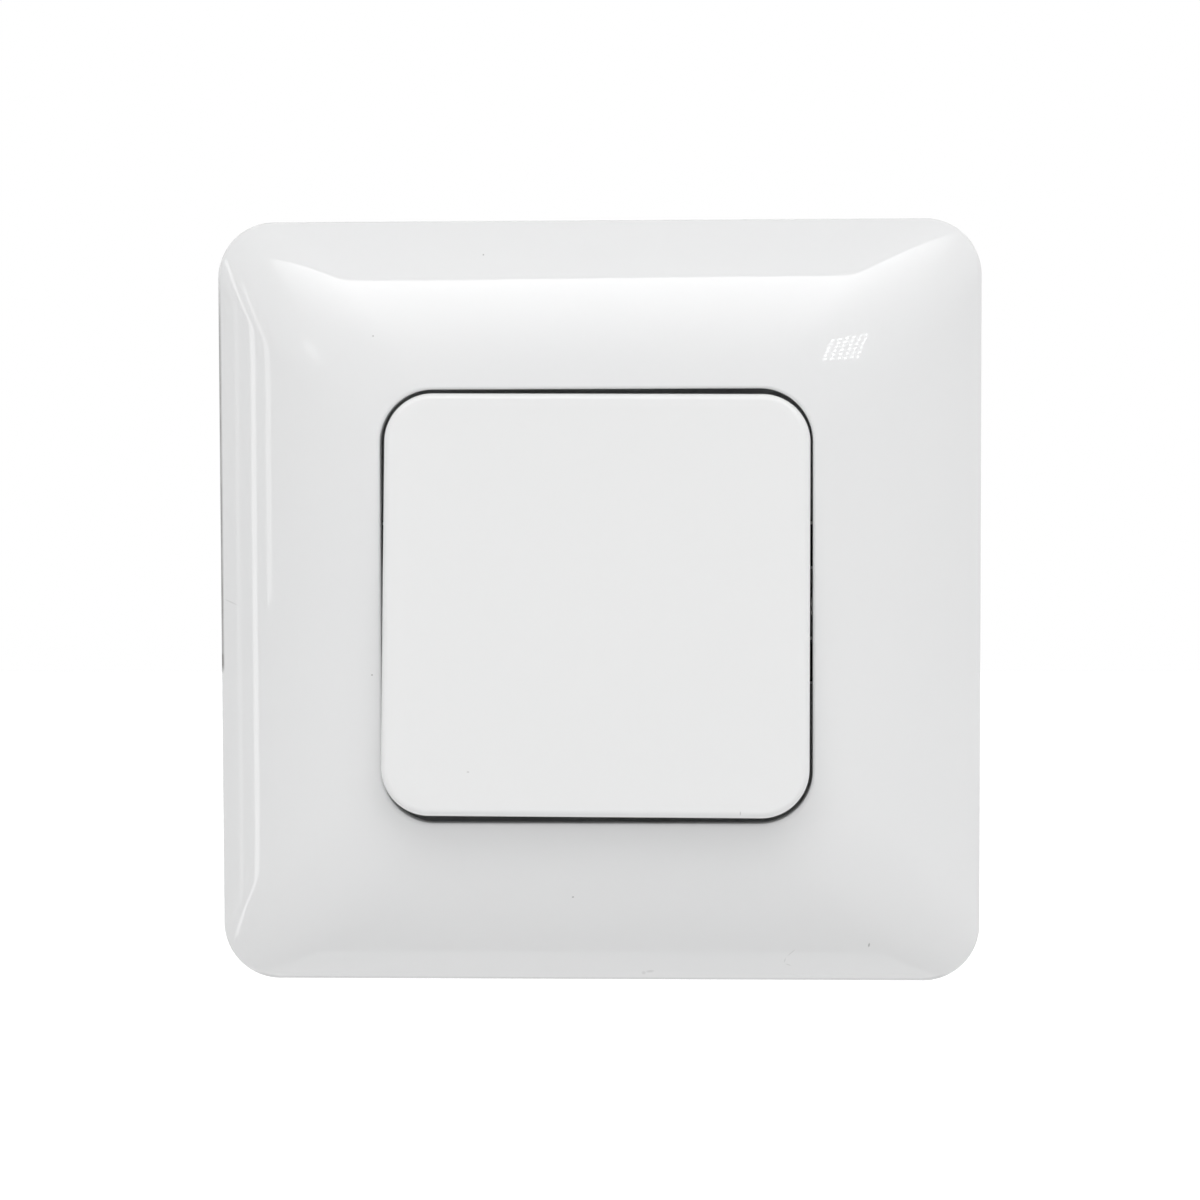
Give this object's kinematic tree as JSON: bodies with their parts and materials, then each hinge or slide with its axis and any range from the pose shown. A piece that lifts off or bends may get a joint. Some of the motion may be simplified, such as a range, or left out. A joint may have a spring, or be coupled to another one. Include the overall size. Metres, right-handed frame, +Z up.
{
  "type": "light switch",
  "caption": "Flush wall light switch with a square pillow-shaped frame and one square rocker, on a steel support plate with claws and a screw-terminal mechanism behind.",
  "frame": {"origin": "centre of the support plate's rear face, on the wall plane, midway between the two box screw slots", "axes": "+X right as seen from the room, +Y into the wall, +Z up"},
  "size_m": [0.081, 0.0343, 0.081],
  "materials": {
    "frame_plastic": "moulded gloss white",
    "rocker_plastic": "moulded gloss white",
    "mechanism_plastic": "moulded dark grey, matte",
    "plunger_plastic": "moulded natural plastic",
    "spring_steel": "drawn wire",
    "zinc_steel": "zinc plated",
    "housing_plastic": "moulded light grey, matte",
    "contact_brass": "stamped brass",
    "contact_silver": "silver alloy"
  },
  "bodies": {
    "base": {"cover_frame": "frame_plastic", "support_plate": "zinc_steel", "mechanism_cover": "mechanism_plastic", "switch_housing": "housing_plastic", "common_terminal": "contact_brass", "upper_contact_strip": "contact_brass", "lower_contact_strip": "contact_brass", "fixed_contacts": "contact_silver", "terminal_block_common": "contact_brass", "terminal_block_upper": "contact_brass", "terminal_block_lower": "contact_brass", "terminal_screws": "zinc_steel", "claw_screws": "zinc_steel"},
    "rocker_body": {"rocker": "rocker_plastic", "rocker_carrier": "mechanism_plastic", "plunger_spring": "spring_steel"},
    "plunger_body": {"plunger": "plunger_plastic"},
    "lever_body": {"contact_lever": "contact_brass", "lever_contacts": "contact_silver"},
    "left_claw_body": {"claw_left": "zinc_steel"},
    "right_claw_body": {"claw_right": "zinc_steel"}
  },
  "joints": [
    {"name": "rocker_swing", "type": "hinge", "parent": "base", "child": "rocker_body", "pos_m": [0, -0.0089, 0], "axis": [1, 0, 0], "range_deg": [0, 11]},
    {"name": "plunger_slide", "type": "slide", "parent": "rocker_body", "child": "plunger_body", "axis": [0, -0.9954, 0.0958], "range_m": [-0.0005, 0.001], "stiffness_N_per_m": 250, "springref_m": -0.002, "deforming": ["plunger_spring"]},
    {"name": "lever_swing", "type": "hinge", "parent": "base", "child": "lever_body", "pos_m": [0, 0.0144, 0], "axis": [1, 0, 0], "range_deg": [-21, 0]},
    {"name": "claw_left_swing", "type": "hinge", "parent": "base", "child": "left_claw_body", "pos_m": [-0.0209, 0.0045, 0], "axis": [0, 0, 1], "range_deg": [0, 28]},
    {"name": "claw_right_swing", "type": "hinge", "parent": "base", "child": "right_claw_body", "pos_m": [0.0209, 0.0045, 0], "axis": [0, 0, -1], "range_deg": [0, 28]}
  ],
  "couplings": [
    {"joint": "lever_swing", "follows": "rocker_swing", "ratio": -1.9091}
  ]
}
